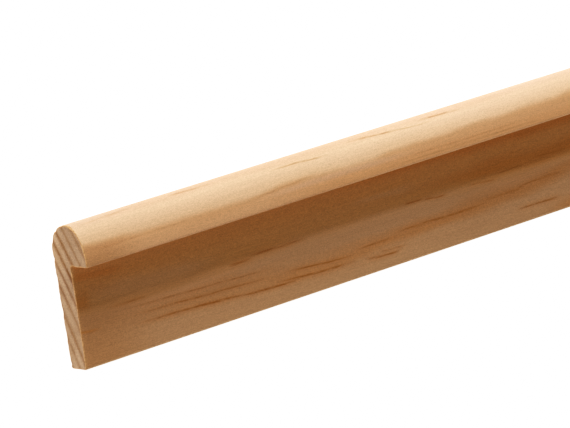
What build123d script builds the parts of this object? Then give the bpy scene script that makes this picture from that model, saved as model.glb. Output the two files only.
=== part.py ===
from build123d import *
import os

# Hockey stick moulding: one length of planed softwood, lying on its back face.
# The section has a thin web, with a thick rounded nose along one edge. The nose
# stands proud of the web's front, so the two form a rebate: the web covers the
# face of a board and the nose caps its edge. One pass of the planer makes the
# whole section, which runs unchanged from one sawn end to the other.
#
# +X runs along the length, +Y across the section from the web's foot to the
# crown of the nose, and +Z from the back face to the front. The origin is on
# the back face, under the middle of the length and of the width. Sizes are in
# millimetres.

# Planed stock
length = 2400.0
section_width = 34.0  # from the web's foot to the crown of the nose
stock_thickness = 12.0  # from the back face to the front of the nose

# Nose
nose_height = 9.7  # from the lip to the crown
nose_land = 0.8  # flat of the nose's front, next to the lip
back_radius = 6.2  # from the back face round to the crown
lip_radius = 0.4  # eased corner between the nose's front and the lip

# Web, planed a little thinner towards its foot
web_root_thickness = 6.0
web_foot_thickness = 5.55
foot_radius = 0.6  # both corners of the foot

# Places across the section
foot = -section_width / 2
crown = section_width / 2
lip = crown - nose_height
nose_sweep = nose_height - nose_land

with BuildPart() as moulding:
    with BuildSketch(Plane.YZ.offset(-length / 2)) as section:
        with BuildLine():
            back_face = Line((foot, 0), (crown - back_radius, 0))
            JernArc(back_face @ 1, back_face % 1, back_radius, 90)
            nose_front = EllipticalCenterArc(
                center=(crown - nose_sweep, back_radius),
                x_radius=nose_sweep,
                y_radius=stock_thickness - back_radius,
                arc_size=90,
            )
            Polyline(
                nose_front @ 1,
                (lip, stock_thickness),
                (lip, web_root_thickness),
                (foot, web_foot_thickness),
                back_face @ 0,
            )
        make_face()
        foot_corners = section.vertices().group_by(Axis.X)[0]
        fillet(foot_corners, foot_radius)
        lip_corner = section.vertices().group_by(Axis.Y)[-1].sort_by(Axis.X)[0]
        fillet(lip_corner, lip_radius)
    extrude(amount=length)

moulding.part.label = "moulding"

os.makedirs("parts", exist_ok=True)
export_step(moulding.part, "parts/moulding.step")
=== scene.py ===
import math

import bmesh
import bpy
from mathutils import Matrix, Vector


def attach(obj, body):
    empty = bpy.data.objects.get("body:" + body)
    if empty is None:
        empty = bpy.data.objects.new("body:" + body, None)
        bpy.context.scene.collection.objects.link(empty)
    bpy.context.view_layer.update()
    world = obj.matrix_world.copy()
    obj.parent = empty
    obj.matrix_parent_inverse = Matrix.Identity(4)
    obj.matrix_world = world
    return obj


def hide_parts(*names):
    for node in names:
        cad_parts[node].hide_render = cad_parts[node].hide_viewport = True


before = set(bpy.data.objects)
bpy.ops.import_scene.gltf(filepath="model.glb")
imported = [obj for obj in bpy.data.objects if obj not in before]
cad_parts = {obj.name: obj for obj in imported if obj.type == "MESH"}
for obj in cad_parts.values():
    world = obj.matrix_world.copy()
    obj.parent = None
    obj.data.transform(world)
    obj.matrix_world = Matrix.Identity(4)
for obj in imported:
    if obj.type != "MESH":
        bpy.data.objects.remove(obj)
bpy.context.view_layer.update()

# The moulding's own sizes, in millimetres, as in the part's source. x runs along
# the length, y from the web's foot to the crown of the nose, and z from the back
# face to the front.

MM = 0.001
LENGTH = 2400.0
NEAR = -LENGTH / 2
FAR = LENGTH / 2
FOOT = -17.0
CROWN = 17.0
FRONT = 12.0
LIP = 7.3
WEB_ROOT = 6.0
WEB_FOOT = 5.55
FOOT_RADIUS = 0.6
LIP_RADIUS = 0.4
BACK_RADIUS = 6.2
NOSE_SWEEP = 8.9  # of the nose's front, across the section
NOSE_DROP = FRONT - BACK_RADIUS  # and through the thickness
ARRIS = 0.22  # broken edge round each sawn end
CHIPS = 1.4  # how far along the saw's chips reach
FINEST = 0.45  # the longest a straight side of the section is left
BAYS = 24  # lengths the mesh is cut into
NOSE_STEPS = 28
BACK_STEPS = 18
SMALL_STEPS = 4
CREASE = 32  # degrees, past which an edge is shown sharp
ON_FACE = 0.01  # how near the sawn face's plane counts as on it

# The moulding's finishes, in the order it wears them.
PLANED, SAWN, TORN = range(3)

# The tree's pith, off behind the foot of the web.
PITH_Y = -74.9
PITH_Z = -151.4

# Each year's late wood: how far its darkest part is from the pith, over how much
# it darkens before that and fades after it, and how dark it gets.
RINGS = [
    (162.60, 0.80, 0.76, 0.60),
    (165.20, 0.74, 0.72, 0.62),
    (167.50, 0.80, 1.25, 0.80),
    (170.68, 0.90, 0.80, 0.68),
    (173.15, 0.78, 0.74, 0.76),
    (175.70, 0.92, 0.87, 0.99),
    (178.35, 0.98, 0.93, 0.97),
    (180.90, 0.72, 0.68, 0.62),
    (183.60, 0.92, 0.87, 0.68),
    (186.10, 0.90, 0.85, 0.70),
]
RING_LOW = 161.5
RING_HIGH = 187.5


# Shape


def corner_at(shape, y, z):
    """The section's corner nearest to a place across it."""
    place = Vector((NEAR * MM, y * MM, z * MM))
    return min(shape.verts, key=lambda v: (v.co - place).length)


def round_corner(shape, corner, radius, steps):
    bmesh.ops.bevel(
        shape,
        geom=[corner],
        offset=radius * MM,
        offset_type="OFFSET",
        segments=steps,
        profile=0.5,
        affect="VERTICES",
        material=-1,
    )


def stretch_across(shape, factor):
    """Widens or narrows the section about the crown."""
    pin = Matrix.Translation((0, -CROWN * MM, 0))
    bmesh.ops.scale(shape, vec=(1, factor, 1), space=pin, verts=shape.verts)


def draw_section(shape):
    corners = [
        (FOOT, 0),
        (CROWN, 0),
        (CROWN, FRONT),
        (LIP, FRONT),
        (LIP, WEB_ROOT),
        (FOOT, WEB_FOOT),
    ]
    shape.faces.new([shape.verts.new((NEAR * MM, y * MM, z * MM)) for y, z in corners])
    # The front of the nose is a quarter of an ellipse: a round one, stretched.
    stretch_across(shape, NOSE_DROP / NOSE_SWEEP)
    round_corner(shape, corner_at(shape, CROWN, FRONT), NOSE_DROP, NOSE_STEPS)
    stretch_across(shape, NOSE_SWEEP / NOSE_DROP)
    round_corner(shape, corner_at(shape, CROWN, 0), BACK_RADIUS, BACK_STEPS)
    round_corner(shape, corner_at(shape, LIP, FRONT), LIP_RADIUS, SMALL_STEPS)
    round_corner(shape, corner_at(shape, FOOT, 0), FOOT_RADIUS, SMALL_STEPS)
    round_corner(shape, corner_at(shape, FOOT, WEB_FOOT), FOOT_RADIUS, SMALL_STEPS)
    bmesh.ops.remove_doubles(shape, verts=shape.verts, dist=0.02 * MM)
    for edge in list(shape.edges):
        cuts = int(edge.calc_length() / (FINEST * MM))
        if cuts > 1:
            bmesh.ops.subdivide_edges(shape, edges=[edge], cuts=cuts)


def ring_strength(y, z):
    """How near a place on a sawn end is to a year's hard late wood."""
    from_pith = math.hypot(y - PITH_Y, z - PITH_Z)
    return max(
        depth * max(1 - abs(from_pith - radius) / rise, 0)
        for radius, rise, _, depth in RINGS
    )


# How uneven the saw leaves an edge: everywhere, at late wood, up and down the
# web's front, and along the back.
RIPPLES = (0.03, 0.02)
LATE_CHIP = 0.36
WEB_CHIP = 0.40
BACK_CHIP = 0.05
WEB_MIDDLE = -5.0
WEB_HALF = 12.0


def edge_wear(y, z):
    """How much more than ARRIS the saw has broken off the edge at a place."""
    wear = RIPPLES[0] * math.sin(3.1 * y + 1.7 * z)
    wear += RIPPLES[1] * math.sin(5.3 * y - 4.1 * z)
    if y < FOOT + 1 or z > 11.3:  # the section's own small roundings
        return wear
    if z > 5 and y < LIP - 0.3:
        return wear + WEB_CHIP * (abs(y - WEB_MIDDLE) / WEB_HALF) ** 3 - 0.13
    ragged = BACK_CHIP * math.sin(4.3 * (y + z)) if z < 5 else 0.0
    return wear + ragged + LATE_CHIP * ring_strength(y, z) - 0.10


def wear_sawn_edges(shape):
    """Makes the broken edge round each end as uneven as a saw leaves it."""
    shape.normal_update()
    for vert in list(shape.verts):
        depth = FAR - abs(vert.co.x) / MM
        if depth > 2 * ARRIS:
            continue
        inward = -Vector((0, vert.normal.y, vert.normal.z)).normalized()
        along = Vector((-math.copysign(1, vert.co.x), 0, 0))
        wear = edge_wear(vert.co.y / MM, vert.co.z / MM) * MM
        if depth < ON_FACE:  # on the sawn face
            move = inward * wear
        elif depth > 0.9 * ARRIS:  # on the planed faces
            move = along * wear + inward * max(wear, 0) * 0.35
        else:
            move = inward * max(wear, 0) * 0.7 + along * wear * 0.3
        bmesh.ops.translate(shape, verts=[vert], vec=move)


def place_of(vert):
    return round(vert.co.y, 7), round(vert.co.z, 7)


def measure_round(shape):
    """How far round the section each of its corners is, and the way round."""
    far_round, total = {}, 0.0
    for loop in next(iter(shape.faces)).loops:
        far_round[place_of(loop.vert)] = total
        total += loop.edge.calc_length()
    return far_round, total


# The map's places, as shares of its width and height.
MAP_EDGE = 0.01
END_STARTS = (0.01, 0.52)
END_WIDE = 0.47
END_LOW = 0.905
END_HIGH = 0.085
MAP_ROWS = 3
ROW_WIDE = 0.98
ROW_STEP = 0.297
ROW_HIGH = 0.285


def lay_out_map(shape, far_round, total):
    """A map to bake through: the length in three rows, and the ends above them."""
    layer = shape.loops.layers.uv.new("OFBake")
    for face in shape.faces:
        middle = face.calc_center_median()
        if FAR * MM - abs(middle.x) < 2 * ARRIS * MM:
            start = END_STARTS[middle.x > 0]
            for loop in face.loops:
                across = (loop.vert.co.y / MM - FOOT) / (CROWN - FOOT)
                through = loop.vert.co.z / MM / FRONT
                loop[layer].uv = (start + END_WIDE * across, END_LOW + END_HIGH * through)
            continue
        row = min(int((middle.x + FAR * MM) / (LENGTH * MM) * MAP_ROWS), MAP_ROWS - 1)
        rounds = [far_round[place_of(loop.vert)] for loop in face.loops]
        for loop, way in zip(face.loops, rounds):
            if max(rounds) - way > total / 2:
                way += total
            along = (loop.vert.co.x + FAR * MM) / (LENGTH * MM) * MAP_ROWS - row
            loop[layer].uv = (
                MAP_EDGE + ROW_WIDE * along,
                MAP_EDGE + ROW_STEP * row + ROW_HIGH * way / total,
            )


def build_moulding():
    shape = bmesh.new()
    draw_section(shape)
    far_round, total = measure_round(shape)
    grown = bmesh.ops.extrude_face_region(shape, geom=list(shape.faces))
    moved = [part for part in grown["geom"] if isinstance(part, bmesh.types.BMVert)]
    bmesh.ops.translate(shape, verts=moved, vec=(LENGTH * MM, 0, 0))
    bmesh.ops.recalc_face_normals(shape, faces=shape.faces)
    cuts = [NEAR + LENGTH * step / BAYS for step in range(1, BAYS)]
    for place in (NEAR + CHIPS, *cuts, FAR - CHIPS):
        bmesh.ops.bisect_plane(
            shape,
            geom=[*shape.verts, *shape.edges, *shape.faces],
            plane_co=(place * MM, 0, 0),
            plane_no=(1, 0, 0),
        )
    rims = [
        edge
        for edge in shape.edges
        if len({round(v.co.x, 6) for v in edge.verts}) == 1
        and abs(abs(edge.verts[0].co.x) - FAR * MM) < 1e-6
    ]
    bmesh.ops.bevel(
        shape,
        geom=rims,
        offset=ARRIS * MM,
        offset_type="OFFSET",
        segments=2,
        profile=0.5,
        affect="EDGES",
        material=-1,
    )
    lay_out_map(shape, far_round, total)
    shape.normal_update()
    for face in shape.faces:
        at_end = FAR * MM - abs(face.calc_center_median().x)
        sawn = at_end < ON_FACE * MM
        face.smooth = not sawn
        torn = not sawn and at_end < 2 * ARRIS * MM
        face.material_index = SAWN if sawn else TORN if torn else PLANED
    wear_sawn_edges(shape)
    for edge in shape.edges:
        if len(edge.link_faces) == 2 and edge.calc_face_angle() > math.radians(CREASE):
            edge.smooth = False
    mesh = bpy.data.meshes.new("hockey_stick_moulding")
    shape.to_mesh(mesh)
    shape.free()
    piece = bpy.data.objects.new("hockey_stick_moulding", mesh)
    bpy.context.scene.collection.objects.link(piece)
    return piece


# Finishes


class Value:
    """A socket in a finish. Arithmetic on it adds Math nodes."""

    def __init__(self, finish, socket):
        self.finish = finish
        self.socket = socket

    def math(self, operation, *values):
        return self.finish.node(
            "Math", {"operation": operation}, dict(enumerate(values))
        )

    def __add__(self, other):
        return self.math("ADD", self, other)

    __radd__ = __add__

    def __mul__(self, other):
        return self.math("MULTIPLY", self, other)

    __rmul__ = __mul__

    def __sub__(self, other):
        return self.math("SUBTRACT", self, other)

    def __rsub__(self, other):
        return self.math("SUBTRACT", other, self)

    def __truediv__(self, other):
        return self.math("DIVIDE", self, other)

    def __pow__(self, other):
        return self.math("POWER", self, other)

    def __abs__(self):
        return self.math("ABSOLUTE", self)


class Finish:
    """The nodes of one material, or of the world."""

    def __init__(self, owner):
        self.owner = owner
        owner.use_nodes = True
        self.tree = owner.node_tree
        self.tree.nodes.clear()

    def node(self, kind, settings, sockets, out=0):
        made = self.tree.nodes.new("ShaderNode" + kind)
        for name, setting in settings.items():
            if name == "stops":
                ramp = made.color_ramp
                while len(ramp.elements) < len(setting):
                    ramp.elements.new(1)
                for element, (place, colour) in zip(ramp.elements, setting):
                    element.position = place
                    element.color = colour
            elif name == "points":
                line = made.mapping.curves[0]
                while len(line.points) < len(setting):
                    line.points.new(1, 1)
                for point, place in zip(line.points, setting):
                    point.location = place
                made.mapping.extend = "HORIZONTAL"
                made.mapping.update()
            else:
                setattr(made, name, setting)
        for key, value in sockets.items():
            if isinstance(value, Value):
                self.tree.links.new(value.socket, made.inputs[key])
            else:
                made.inputs[key].default_value = value
        return Value(self, made.outputs[out]) if made.outputs else None

    def place(self):
        """Where a point is, in millimetres, with x from the near end."""
        metres = self.node("TexCoord", {}, {}, "Object")
        shifted = self.vector("SUBTRACT", metres, (NEAR * MM, 0, 0))
        return self.vector("MULTIPLY", shifted, (1000, 1000, 1000))

    def vector(self, operation, first, second):
        return self.node("VectorMath", {"operation": operation}, {0: first, 1: second})

    def parts(self, vector):
        made = self.node("SeparateXYZ", {}, {0: vector})
        outputs = made.socket.node.outputs
        return [Value(self, outputs[k]) for k in range(3)]

    def join(self, x, y, z):
        return self.node("CombineXYZ", {}, {0: x, 1: y, 2: z})

    def noise(self, place, size, seed, detail=2.0, roughness=0.5):
        """Noise with features of about this size in millimetres along x, y and z."""
        spread = self.vector("DIVIDE", place, size)
        moved = self.vector("ADD", spread, (seed * 7.31, seed * 3.17, seed * 5.93))
        return self.node(
            "TexNoise",
            {"noise_dimensions": "3D", "normalize": True},
            {
                "Vector": moved,
                "Scale": 1.0,
                "Detail": detail,
                "Roughness": roughness,
            },
        )

    def step(self, value, low, high, to_low=0.0, to_high=1.0):
        """A smooth rise from to_low to to_high as value goes from low to high."""
        return self.node(
            "MapRange",
            {"interpolation_type": "SMOOTHSTEP", "clamp": True},
            {
                "Value": value,
                "From Min": low,
                "From Max": high,
                "To Min": to_low,
                "To Max": to_high,
            },
        )

    def line(self, value, points):
        """A smooth line through points of (value, result)."""
        starts, results = zip(*points)
        low, high = min(starts), max(starts)
        least, most = min(results), max(results)
        reach = max(most - least, 1e-6)
        unit = [((a - low) / (high - low), (b - least) / reach) for a, b in points]
        made = self.node(
            "FloatCurve", {"points": unit}, {"Value": (value - low) / (high - low)}
        )
        return made * reach + least

    def least(self, first, second):
        return self.node("Math", {"operation": "MINIMUM"}, {0: first, 1: second})

    def most(self, first, second):
        return self.node("Math", {"operation": "MAXIMUM"}, {0: first, 1: second})

    def mix(self, first, second, share, blend="MIX"):
        return self.node(
            "Mix",
            {"data_type": "RGBA", "blend_type": blend, "clamp_factor": True},
            {0: share, 6: first, 7: second},
            2,
        )

    def tint(self, colour, red, green, blue):
        return self.mix(colour, self.join(red, green, blue), 1.0, blend="MULTIPLY")

    def shade(self, colour, amount):
        return self.tint(colour, amount, amount, amount)

    def bump(self, height, strength, depth):
        """A relief of this depth in millimetres."""
        sockets = {"Strength": strength, "Distance": depth * MM, "Height": height}
        return self.node("Bump", {}, sockets)

    def cover(self, sockets):
        """Makes a plain surface with these sockets the material's own."""
        surface = self.node("BsdfPrincipled", {}, sockets)
        self.node("OutputMaterial", {}, {"Surface": surface})
        return self.owner


def ring_stops():
    stops = [(0.0, (0, 0, 0, 1))]
    for radius, rise, fall, depth in RINGS:
        for place, shade in ((radius - rise, 0.0), (radius, depth), (radius + fall, 0.0)):
            share = (place - RING_LOW) / (RING_HIGH - RING_LOW)
            stops.append((share, (shade, shade, shade, 1)))
    return stops


def late_wood(finish, y, z, drift):
    """How much of a year's late wood shows at a place, from 0 to 1."""
    from_pith = ((y - PITH_Y + drift) ** 2 + (z - PITH_Z) ** 2) ** 0.5
    share = (from_pith - RING_LOW) / (RING_HIGH - RING_LOW)
    return finish.node("ValToRGB", {"stops": ring_stops()}, {0: share})


def grey(finish, colour):
    return finish.parts(colour)[0]


# The planed faces
EARLY_WOOD = (0.735, 0.402, 0.208, 1)
LATE_WOOD = (0.560, 0.245, 0.090, 1)
OLIVE_WOOD = (0.665, 0.385, 0.208, 1)
AMBER_WOOD = (0.680, 0.335, 0.140, 1)
RUST_WOOD = (0.620, 0.260, 0.078, 1)
# Dark brown bands below the lip, the first partly painted shade
BROWN_WOOD = (0.585, 0.300, 0.130, 1)
FOOT_WOOD = (0.655, 0.378, 0.205, 1)
# The nose's pale crown colours: painted light, partly paler sapwood
PALE_WOOD = (0.800, 0.485, 0.312, 1)
PEACH_WOOD = (0.782, 0.455, 0.283, 1)
LIT_SAP_WOOD = (0.926, 0.578, 0.356, 1)
# The nose's amber front: painted shade, partly amber late wood
FRONT_WOOD = (0.755, 0.404, 0.208, 1)
LAND_WOOD = (0.838, 0.465, 0.247, 1)
# The web in the lip's shadow: painted shade, partly redder wood
SHADED_WOOD = (0.670, 0.334, 0.125, 1)
DARK_WOOD = (0.610, 0.318, 0.150, 1)
FOOT_EDGE = (0.920, 0.560, 0.300, 1)
# Warmer crown just above the front: painted shade where the crown's painted light fades
CROWN_EDGE = (0.810, 0.475, 0.235, 1)
WARM_WOOD = (0.785, 0.384, 0.172, 1)
NEAR_WOOD = (0.600, 0.310, 0.150, 1)
# The lip's rounding, lightened against its shade: painted light
LIP_PAINTED_LIGHT = (0.920, 0.570, 0.310, 1)
FLECK = (0.420, 0.160, 0.044, 1)

# The sawn ends
END_WOOD = (0.485, 0.308, 0.188, 1)
END_DULL = (0.420, 0.255, 0.146, 1)
END_RING = (0.240, 0.107, 0.034, 1)
END_DARKEST = (0.166, 0.054, 0.005, 1)
END_RIM = (0.620, 0.330, 0.150, 1)
TORN_DARK = (0.480, 0.250, 0.110, 1)
TORN_WOOD = (0.780, 0.440, 0.210, 1)
TORN_BACK = (0.980, 0.620, 0.350, 1)

# Dark grain that shows on the web near the photographed end: places along the
# length and below the lip, half width, and strength.
WEB_GRAIN = [
    ([(16, 17.55), (32, 18.0), (42, 18.5), (50, 19.15)], 0.32, 0.66),
    ([(33, 18.15), (38, 18.40), (43, 18.75), (49, 19.10)], 0.26, 0.38),
    ([(46, 19.0), (52, 19.35), (58, 19.65), (66, 19.75)], 0.34, 0.85),
    ([(16, 15.4), (30, 15.85), (38, 16.2), (58, 17.0)], 0.30, 0.56),
    ([(12, 13.3), (27, 13.9), (42, 14.4), (60, 15.3)], 0.27, 0.46),
    ([(45, 11.25), (48, 11.3), (50, 11.3), (53, 11.35)], 0.40, 0.66),
    ([(51, 10.5), (58, 10.65), (63, 10.75), (70, 10.75)], 0.42, 0.66),
    ([(59, 18.7), (68, 19.4), (75, 19.7), (84, 19.9)], 0.34, 0.82),
    ([(61, 16.9), (70, 17.55), (76, 18.0), (84, 18.25)], 0.27, 0.70),
    ([(84, 17.25), (88, 17.25), (92, 17.2), (98, 17.15)], 0.30, 0.55),
    ([(87, 20.2), (91, 20.65), (95, 20.85), (99, 20.8)], 0.34, 0.75),
    ([(91, 19.5), (94, 19.7), (97, 19.85), (101, 20.0)], 0.24, 0.42),
    ([(96, 16.65), (107, 16.2), (116, 16.45), (128, 16.05)], 0.34, 0.62),
    ([(101, 10.3), (104, 10.35), (105, 10.35), (108, 10.4)], 0.27, 0.60),
    ([(107, 10.6), (110, 10.8), (112, 11.0), (116, 11.2)], 0.27, 0.62),
    ([(122, 10.8), (126, 11.0), (129, 11.2), (133, 11.35)], 0.24, 0.44),
    ([(131, 10.1), (135, 10.1), (138, 10.0), (142, 9.95)], 0.24, 0.44),
    ([(126, 15.4), (136, 15.6), (145, 14.7), (157, 15.1)], 0.40, 0.40),
    ([(137, 20.45), (143, 20.5), (148, 20.65), (154, 20.85)], 0.34, 0.66),
    ([(145, 9.15), (149, 9.2), (152, 9.3), (157, 9.45)], 0.27, 0.50),
    ([(8, 11.85), (12, 11.9), (16, 12.0), (21, 12.1)], 0.30, 0.42),
    ([(164, 18.1), (174, 18.4), (184, 18.5), (196, 18.9)], 0.32, 0.55),
    ([(170, 12.6), (182, 12.4), (196, 12.8), (214, 12.9)], 0.32, 0.50),
]

# Broad amber bands on the web, in the same way.
WEB_AMBER = [
    ([(-3, 2.7), (4, 2.9), (8, 3.0), (15, 2.9)], 1.1, 0.50),
    ([(-4, 8.4), (-1, 8.4), (1, 8.4), (4.5, 8.4)], 3.0, 0.68),
    ([(-6, 15.2), (0, 15.6), (3, 15.7), (6, 15.6)], 0.7, 0.64),
    ([(10, 15.8), (35, 16.6), (60, 17.8), (100, 18.6)], 3.4, 0.36),
    ([(78, 17.6), (105, 16.9), (135, 15.9), (175, 12.2)], 2.4, 0.58),
    ([(52, 18.2), (70, 18.7), (86, 18.9), (102, 18.9)], 1.6, 0.14),
    ([(70, 0.8), (105, 1.4), (135, 1.6), (200, 1.8)], 1.8, 0.72),
    ([(104, 7.6), (128, 7.9), (145, 8.4), (200, 9.4)], 2.6, 0.95),
    ([(146, 23.2), (158, 22.9), (168, 22.6), (200, 22.0)], 1.8, 0.80),
]

# Dark ones where a year's late wood meets the web's face; the first is partly painted
# shade, lengthening the lip's shadow.
WEB_BROWN = [
    ([(-30, 10.6), (8, 10.9), (22, 11.4), (38, 10.8), (54, 9.9)], 1.4, 0.70),
    ([(-10, 5.6), (0, 5.6), (6, 5.7), (14, 5.8)], 4.0, 0.35),
    ([(58, 7.8), (90, 7.3), (120, 7.4), (180, 8.4)], 1.8, 0.14),
]

# And broad olive ones.
WEB_OLIVE = [
    ([(44, 13.2), (70, 13.0), (100, 13.2), (132, 13.0)], 3.6, 0.75),
    ([(0, 8.6), (14, 8.6), (26, 9.2), (44, 10.0)], 3.4, 0.45),
    ([(84, 6.4), (92, 6.4), (98, 6.6), (106, 6.8)], 1.2, 0.35),
    ([(52, 22.6), (75, 22.8), (100, 22.4), (140, 22.0)], 2.2, 0.70),
]

# The same on the front of the nose: places along the length and across the
# section.
NOSE_GRAIN = [
    ([(59, 15.62), (66, 15.60), (70, 15.48), (77, 15.25)], 0.22, 0.62),
    ([(29, 16.64), (33, 16.68), (37, 16.61), (42, 16.60)], 0.16, 0.46),
    ([(84, 16.42), (91, 16.24), (95, 16.08), (101, 15.88)], 0.21, 0.64),
    ([(99, 15.93), (103, 15.70), (106, 15.57), (111, 15.62)], 0.17, 0.50),
    ([(107, 16.34), (112, 16.31), (115, 16.27), (121, 16.12)], 0.22, 0.60),
    ([(2, 16.45), (7, 16.52), (12, 16.62), (18, 16.75)], 0.17, 0.28),
    ([(0, 10.75), (12, 10.85), (22, 10.95), (36, 11.10)], 0.35, 0.18),
    ([(48, 10.95), (56, 11.25), (62, 11.55), (72, 12.00)], 0.38, 0.30),
    ([(96, 9.60), (108, 9.50), (120, 9.45), (138, 9.60)], 0.26, 0.26),
    ([(84, 8.60), (100, 8.50), (118, 8.50), (150, 8.55)], 0.28, 0.26),
]

# Paler streaks there.
NOSE_PALE = [
    ([(50, 10.4), (66, 10.6), (82, 10.5), (104, 10.2)], 0.9, 0.42),
]

# Where the nose's amber front, painted shade, gives way to the crown's painted
# light, across the section, along the length.
NOSE_EDGE = [
    (0, 12.15),
    (10, 11.95),
    (20, 11.3),
    (35, 11.4),
    (45, 11.2),
    (55, 11.4),
    (66, 11.7),
    (76, 11.3),
    (86, 11.0),
    (95, 11.7),
    (110, 11.8),
    (140, 12.1),
    (165, 13.2),
]

# How bright the crown of the nose is along the length.
CROWN_TONE = [(0, 0.94), (12, 0.94), (26, 0.975), (50, 1.0), (80, 1.03), (115, 1.07)]


def grain_lines(finish, along, across, wobble, lines):
    """How strongly the lines show, and the stain round them."""
    total = halo = 0.0
    for points, width, strength in lines:
        start, stop = points[0][0], points[-1][0]
        taper = (stop - start) * 0.3
        gap = abs(across - finish.line(along, points) + wobble)
        body = finish.step(gap, 0.1 * width, 1.25 * width, strength, 0.0)
        stain = finish.step(gap, 0.3 * width, 4.0 * width, strength, 0.0)
        begins = finish.step(along, start - 0.2 * taper, start + taper)
        stops = finish.step(along, stop - taper, stop + 0.2 * taper, 1.0, 0.0)
        runs = begins * stops
        total = body * runs + total
        halo = stain * runs + halo
    return total, halo


def broad_grain(finish, late, patch, tint, beyond):
    """Broad changes of tone along the grain, stronger past the photographed part."""
    olive = finish.step(patch, 0.46, 0.68)
    amber = finish.step(tint, 0.50, 0.72)
    colour = finish.mix(EARLY_WOOD, OLIVE_WOOD, olive * (0.5 + 0.5 * beyond))
    colour = finish.mix(colour, AMBER_WOOD, amber * (0.45 + 0.4 * beyond))
    return finish.mix(colour, LATE_WOOD, late * (0.10 + 0.22 * patch + 0.25 * beyond))


def web_face(finish, place, colour, tint, wobble):
    """Lays the web's face over a colour, and gives its dark lines and its shade too."""
    x, y, z = finish.parts(place)
    below = LIP - y
    past_root = finish.step(z, WEB_ROOT + 0.02, WEB_ROOT + 0.30, 1.0, 0.0)
    on_web = finish.step(z, 4.6, 5.4) * past_root

    # Darker and redder in the lip's shadow: painted shade, partly the wood's redder tint.
    # Duller towards the foot
    by_lip = finish.step(below, 9.5, 14.0, 1.0, 0.0) * on_web
    colour = finish.mix(colour, SHADED_WOOD, by_lip * 0.75)
    by_foot = finish.step(below, 13, 18) * on_web
    colour = finish.mix(colour, FOOT_WOOD, by_foot * 0.8)
    by_end = finish.step(x, 4, 26, 1.0, 0.0) * finish.step(below, 10, 12.5) * on_web
    colour = finish.mix(colour, DARK_WOOD, by_end * 0.9)

    # The broad bands
    sway = (finish.noise(place, (22, 3, 3), 10, 3.0) - 0.5) * 3.2
    bands = grain_lines(finish, x, below, sway, WEB_OLIVE)[0] * on_web
    colour = finish.mix(colour, OLIVE_WOOD, bands)
    # The first brown band is partly painted shade, lengthening the lip's shadow
    bands = grain_lines(finish, x, below, sway * 0.3, WEB_BROWN)[0] * on_web
    colour = finish.mix(colour, BROWN_WOOD, bands)
    bands = grain_lines(finish, x, below, sway, WEB_AMBER)[0] * on_web
    colour = finish.mix(colour, RUST_WOOD, bands * (0.6 + 0.5 * tint))

    # The stain round the dark lines
    lines, stain = grain_lines(finish, x, below, wobble, WEB_GRAIN)
    colour = finish.mix(colour, RUST_WOOD, stain * on_web * 0.32)

    # The foot's rounded edge
    foot_edge = finish.step(y, FOOT + 0.30, FOOT + 0.70, 1.0, 0.0)
    foot_edge = foot_edge * finish.step(z, 4.6, 5.0)
    colour = finish.mix(colour, FOOT_EDGE, foot_edge * 0.85)

    farther = finish.step(x, 104, 126, 1.0, 0.935)
    duller = finish.step(below, 10.5, 12.5) * on_web * (farther - 1.0) + 1.0
    return colour, lines * on_web, duller


def nose_face(finish, place, colour, patch, tint, wobble):
    """Lays the nose's face over a colour, and gives its dark lines too."""
    x, y, z = finish.parts(place)
    forward = finish.step(z, 9, 11)
    waver = (finish.noise(place, (12, 2, 2), 9, 3.0) - 0.5) * 1.6
    edge = finish.line(x, NOSE_EDGE) + waver
    pale = finish.step(y - edge, -1.0, 1.1)

    # The pale crown, facing the light: painted light, partly paler sapwood
    lit_sap = finish.step(y + (tint - 0.5) * 1.0, 15.5, 16.9, 1.0, 0.0)
    midway = finish.step(x, 5, 22) * finish.step(x, 125, 148, 1.0, 0.0)
    crown = finish.mix(PALE_WOOD, PEACH_WOOD, midway)
    crown = finish.mix(crown, LIT_SAP_WOOD, lit_sap)
    # Warmer just above the front: painted shade where the crown's painted light fades
    by_edge = finish.step(y - edge, 0.6, 3.2, 0.28, 0.0)
    crown = finish.mix(crown, CROWN_EDGE, by_edge)
    tone = finish.line(x, CROWN_TONE)
    pinker = tone * finish.step(x, 90, 120, 1.0, 1.02)
    crown = finish.tint(crown, tone, tone, pinker)
    colour = finish.mix(colour, crown, pale * (0.85 + 0.2 * patch))

    # The amber front, turned from the light: painted shade, partly amber late wood;
    # lightest by the lip
    off_land = finish.step(y + (tint - 0.5) * 3.0, 8.6, 11.4)
    amber = finish.mix(LAND_WOOD, FRONT_WOOD, off_land)
    warm = finish.step(x, 50, 80, 0.0, 0.55) * finish.step(y, 9, 11, 1.0, 0.0)
    amber = finish.mix(amber, WARM_WOOD, warm)
    by_end = finish.step(x, 4, 20, 0.9, 0.0)
    amber = finish.mix(amber, NEAR_WOOD, by_end)
    front = (1.0 - pale) * forward * finish.step(y, LIP - 0.1, LIP + 0.2)
    colour = finish.mix(colour, amber, front * 0.9)

    # The eased lip, lightened against the shade on its rounding: painted light
    lip_painted_light = finish.step(y, LIP + 0.15, LIP + 0.50, 1.0, 0.0)
    lip_painted_light = lip_painted_light * finish.step(z, 11.2, 11.5) * finish.step(x, 50, 105, 0.20, 0.75)
    colour = finish.mix(colour, LIP_PAINTED_LIGHT, lip_painted_light)

    streaks = grain_lines(finish, x, y, wobble * 0.6, NOSE_PALE)[0]
    colour = finish.mix(colour, PALE_WOOD, streaks * forward)
    on_nose = finish.step(z, 6.2, 6.6) * finish.step(y, 7.4, 8.2)
    lines = grain_lines(finish, x, y, wobble * 0.3, NOSE_GRAIN)[0]
    return colour, lines * on_nose


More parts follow.
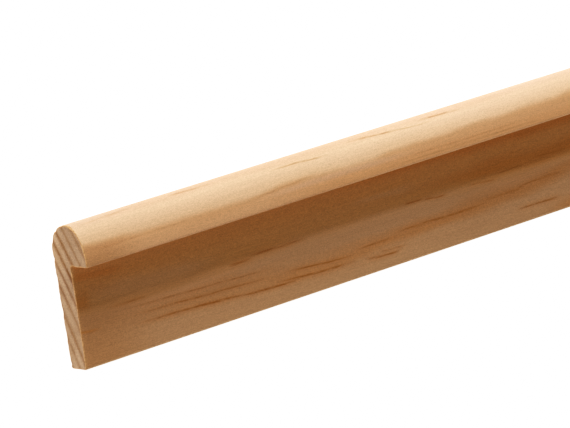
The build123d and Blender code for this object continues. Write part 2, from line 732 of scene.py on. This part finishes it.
def planed_pine():
    finish = Finish(bpy.data.materials.new("planed_pine"))
    place = finish.place()
    x, y, z = finish.parts(place)

    # The rings are true at the photographed end and wander further along.
    wander = finish.noise(place, (140, 60, 60), 1, 1.0)
    ripple = finish.noise(place, (26, 9, 9), 2, 1.0)
    away = finish.step(x, 0, 60)
    drift = ((wander - 0.5) * 7 + (ripple - 0.5) * 1.6) * away
    late = grey(finish, late_wood(finish, y, z, drift))

    patch = finish.noise(place, (60, 4.0, 6.0), 3, 3.0)
    tint = finish.noise(place, (34, 2.6, 4.0), 4, 3.0)
    fibre = finish.noise(place, (14, 0.36, 0.5), 5, 3.0, 0.65)
    fine = finish.noise(place, (0.9, 0.24, 0.28), 6, 2.0, 0.6)
    speck = finish.noise(place, (0.30, 0.24, 0.24), 16, 1.0)
    beyond = finish.step(x, 150, 210)

    # The photographed faces, with their dark lines broken into dashes
    wobble = (finish.noise(place, (9, 3, 3), 7, 3.0) - 0.5) * 0.55
    colour = broad_grain(finish, late, patch, tint, beyond)
    colour, on_web, duller = web_face(finish, place, colour, tint, wobble)
    colour, on_nose = nose_face(finish, place, colour, patch, tint, wobble)
    broken = finish.step(finish.noise(place, (3.0, 0.45, 0.45), 8, 2.0), 0.3, 0.6, 0.3)
    colour = finish.mix(colour, FLECK, (on_web + on_nose) * broken)

    # Plainer grain on the rest of the length
    thread = finish.noise(place, (70, 0.75, 0.9), 18, 1.0)
    where = finish.noise(place, (190, 5, 6), 19, 2.0)
    thread = finish.step(thread, 0.62, 0.70) * finish.step(where, 0.42, 0.56)
    colour = finish.mix(colour, FLECK, thread * beyond * 0.55)

    shade = (0.455 + 0.22 * fibre + 0.32 * fine + 0.55 * speck) * duller
    colour = finish.shade(colour, shade)
    height = fibre * 0.5 + fine * 0.5 - late * 0.4
    return finish.cover(
        {
            "Base Color": colour,
            "Roughness": 0.52 + 0.12 * fibre - 0.06 * late,
            "IOR": 1.45,
            "Specular IOR Level": 0.05,
            "Normal": finish.bump(height, 0.35, 0.04),
        }
    )


NOSE_SPAN = 6.2  # turns the share left to the nose's ellipse into millimetres
OUT_OF_IT = 20.0  # more than any gap, for an edge that isn't there


def gap_to_outline(finish, y, z):
    """How far a place on a sawn end is from the section's outline."""
    past_back = finish.most(y - (CROWN - BACK_RADIUS), 0.0)
    behind = finish.most(BACK_RADIUS - z, 0.0)
    from_back = BACK_RADIUS - (past_back**2 + behind**2) ** 0.5
    past_land = finish.most(y - (CROWN - NOSE_SWEEP), 0.0) / NOSE_SWEEP
    proud = finish.most(z - BACK_RADIUS, 0.0) / NOSE_DROP
    from_nose = (1.0 - (past_land**2 + proud**2) ** 0.5) * NOSE_SPAN
    on_nose = finish.step(y, LIP - 0.1, LIP)
    under = finish.step(z, WEB_ROOT - 0.1, WEB_ROOT)
    web_front = WEB_FOOT + (y - FOOT) * ((WEB_ROOT - WEB_FOOT) / (LIP - FOOT))
    from_web = web_front - z + on_nose * OUT_OF_IT
    from_lip = y - LIP + (2.0 - on_nose - under) * OUT_OF_IT
    gap = finish.least(finish.least(from_back, from_nose), y - FOOT)
    return finish.least(finish.least(from_web, from_lip), gap)


def sawn_pine():
    finish = Finish(bpy.data.materials.new("sawn_pine"))
    place = finish.place()
    x, y, z = finish.parts(place)
    jitter = finish.noise(place, (30, 1.2, 1.2), 11, 2.0)
    late = grey(finish, late_wood(finish, y, z, (jitter - 0.5) * 0.5))
    pores = finish.noise(place, (0.5, 0.30, 0.20), 12, 3.0, 0.75)
    patch = finish.noise(place, (9, 5, 5), 13, 2.0)
    colour = finish.mix(END_WOOD, END_DULL, finish.step(patch, 0.35, 0.7))

    # Paler at the back of the nose and at the foot, darker by the lip
    in_nose = finish.step(y, 5, 9)
    paler = in_nose * finish.step(z, 1.5, 5.5, 0.20, -0.06) + 1.0
    by_lip = finish.step(y, -2, 1) * (1.0 - in_nose) * finish.step(z, 2.5, 4.0)
    paler = paler - 0.10 * by_lip
    paler = finish.step(y, -15, -12, 0.04, 0.0) + paler
    colour = finish.shade(colour, paler)

    # The year rings, darkest below the lip, and the torn rim
    spots = finish.noise(place, (2, 0.5, 0.5), 14, 2.0)
    darkest = finish.step(y, -3, 0) * finish.step(y, 5, 8, 1.0, 0.0)
    ring = finish.mix(END_RING, END_DARKEST, darkest)
    colour = finish.mix(colour, ring, late * finish.step(spots, 0.2, 0.6, 0.65, 1.0))
    rim = finish.step(gap_to_outline(finish, y, z), 0.08, 0.42, 1.0, 0.0)
    tufts = finish.noise(place, (0.4, 0.30, 0.30), 17, 2.0, 0.6)
    rim = rim * finish.step(tufts, 0.35, 0.60, 0.25, 0.95)
    colour = finish.mix(colour, END_RIM, rim)
    colour = finish.shade(colour, 0.22 + 1.56 * pores)
    return finish.cover(
        {
            "Base Color": colour,
            "Roughness": 0.78 + 0.1 * pores,
            "IOR": 1.40,
            "Normal": finish.bump(pores + late * 0.4, 0.6, 0.12),
        }
    )


def torn_pine():
    """The broken edge round a sawn end."""
    finish = Finish(bpy.data.materials.new("torn_pine"))
    place = finish.place()
    tufts = finish.noise(place, (0.4, 0.5, 0.5), 15, 2.0, 0.6)
    colour = finish.mix(TORN_DARK, TORN_WOOD, finish.step(tufts, 0.35, 0.65))
    behind = finish.step(finish.parts(place)[2], 0.3, 1.5, 0.9, 0.0)
    colour = finish.mix(colour, TORN_BACK, behind)
    return finish.cover(
        {
            "Base Color": colour,
            "Roughness": 0.8 + 0.1 * tufts,
            "IOR": 1.40,
            "Specular IOR Level": 0.2,
            "Normal": finish.bump(tufts, 0.5, 0.1),
        }
    )


# Floor, light and camera

WHITE = (1, 1, 1, 1)
FLOOR_GREY = (0.32, 0.32, 0.32, 1)
FLOOR_GLOW = 0.94  # renders as the photograph's white
FLOOR_HALF = 60  # metres
FLOOR_GAP = 0.2  # millimetres below the moulding

# The suns' directions and elevations, strengths, and how wide each spreads.
SUNS = {
    "key": ((0, 1, 0), 18, 0.340, 14),
    "low": ((0, 1, 0), 5, 0.090, 20),
    "edge": ((0, 1, 0), 29.5, 0.125, 3),
    "fill": ((-0.6, -0.5, 0), 52, 0.080, 60),
}

# The room is white by the floor and dim above it.
ROOM_WHITE_TO = 0.05
ROOM_DIM_FROM = 0.20
ROOM_DIM = 0.165

# The camera fitted to the photograph.
LENS = 285.81207
SENSOR = 36
NEAREST = 0.05
FARTHEST = 200
CAMERA_AT = (-1.79787800, 0.20683346, 0.81136879)
CAMERA_RIGHT = (0.74456974, -0.15115431, 0.65020634)
CAMERA_UP = (0.23887800, 0.96985847, -0.04808173)
CAMERA_BACK = (-0.62334036, 0.19112019, 0.75823470)

# The tone curve bends at these levels.
TONE_LEVELS = (0.02, 0.05, 0.10, 0.17, 0.25, 0.35, 0.46, 0.58, 0.72, 0.86)
TONE_GAIN = 1.35
TONE_KNEE = 0.35
TONE_POWER = 1.5


def lay_floor():
    shape = bmesh.new()
    bmesh.ops.create_grid(shape, x_segments=1, y_segments=1, size=FLOOR_HALF)
    bmesh.ops.translate(shape, verts=shape.verts, vec=(0, 0, -FLOOR_GAP * MM))
    mesh = bpy.data.meshes.new("floor")
    shape.to_mesh(mesh)
    shape.free()
    floor = bpy.data.objects.new("floor", mesh)
    bpy.context.scene.collection.objects.link(floor)
    finish = Finish(bpy.data.materials.new("pale_floor"))
    paint = finish.cover(
        {
            "Base Color": FLOOR_GREY,
            "Roughness": 0.9,
            "Specular IOR Level": 0.0,
            "Emission Color": WHITE,
            "Emission Strength": FLOOR_GLOW,
        }
    )
    mesh.materials.append(paint)


def hang_light(name, towards, strength, spread):
    """A far soft light. towards points from the moulding to it."""
    lamp = bpy.data.lights.new(name, "SUN")
    lamp.energy = strength * math.pi
    lamp.angle = math.radians(spread)
    light = bpy.data.objects.new(name, lamp)
    light.rotation_mode = "QUATERNION"
    light.rotation_quaternion = Vector(towards).to_track_quat("Z", "Y")
    bpy.context.scene.collection.objects.link(light)


def raised(side, elevation):
    """A direction that leans up from a level one."""
    level = Vector(side).normalized() * math.cos(math.radians(elevation))
    return level + Vector((0, 0, math.sin(math.radians(elevation))))


def light_studio():
    for name, (side, elevation, strength, spread) in SUNS.items():
        hang_light(name, raised(side, elevation), strength, spread)
    room = Finish(bpy.data.worlds.new("studio"))
    looking = room.node("TexCoord", {}, {}, "Generated")
    level = room.parts(looking)[2]
    glow = room.step(level, ROOM_WHITE_TO, ROOM_DIM_FROM, 1.0, ROOM_DIM)
    surface = room.node("Background", {}, {"Color": room.join(glow, glow, glow)})
    room.node("OutputWorld", {}, {"Surface": surface})
    bpy.context.scene.world = room.owner


def set_camera():
    lens = bpy.data.cameras.new("camera")
    lens.lens = LENS
    lens.sensor_width = SENSOR
    lens.clip_start = NEAREST
    lens.clip_end = FARTHEST
    camera = bpy.data.objects.new("camera", lens)
    turn = Matrix((CAMERA_RIGHT, CAMERA_UP, CAMERA_BACK)).transposed()
    camera.matrix_world = Matrix.Translation(CAMERA_AT) @ turn.to_4x4()
    bpy.context.scene.collection.objects.link(camera)
    bpy.context.scene.camera = camera


def set_tone():
    """Film-like contrast: deep shade, soft highlights."""
    view = bpy.context.scene.view_settings
    view.view_transform = "Standard"
    view.look = "None"
    view.use_curve_mapping = True
    curves = view.curve_mapping
    curves.extend = "HORIZONTAL"
    tone = curves.curves[3]
    for level in TONE_LEVELS:
        lifted = level**TONE_POWER
        tone.points.new(level, TONE_GAIN * lifted / (lifted + TONE_KNEE))
    curves.update()


moulding = build_moulding()
for finish in (planed_pine(), sawn_pine(), torn_pine()):  # PLANED, SAWN, TORN
    moulding.data.materials.append(finish)
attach(moulding, "root")
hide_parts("moulding")

lay_floor()
light_studio()
set_camera()
set_tone()

bpy.context.view_layer.update()
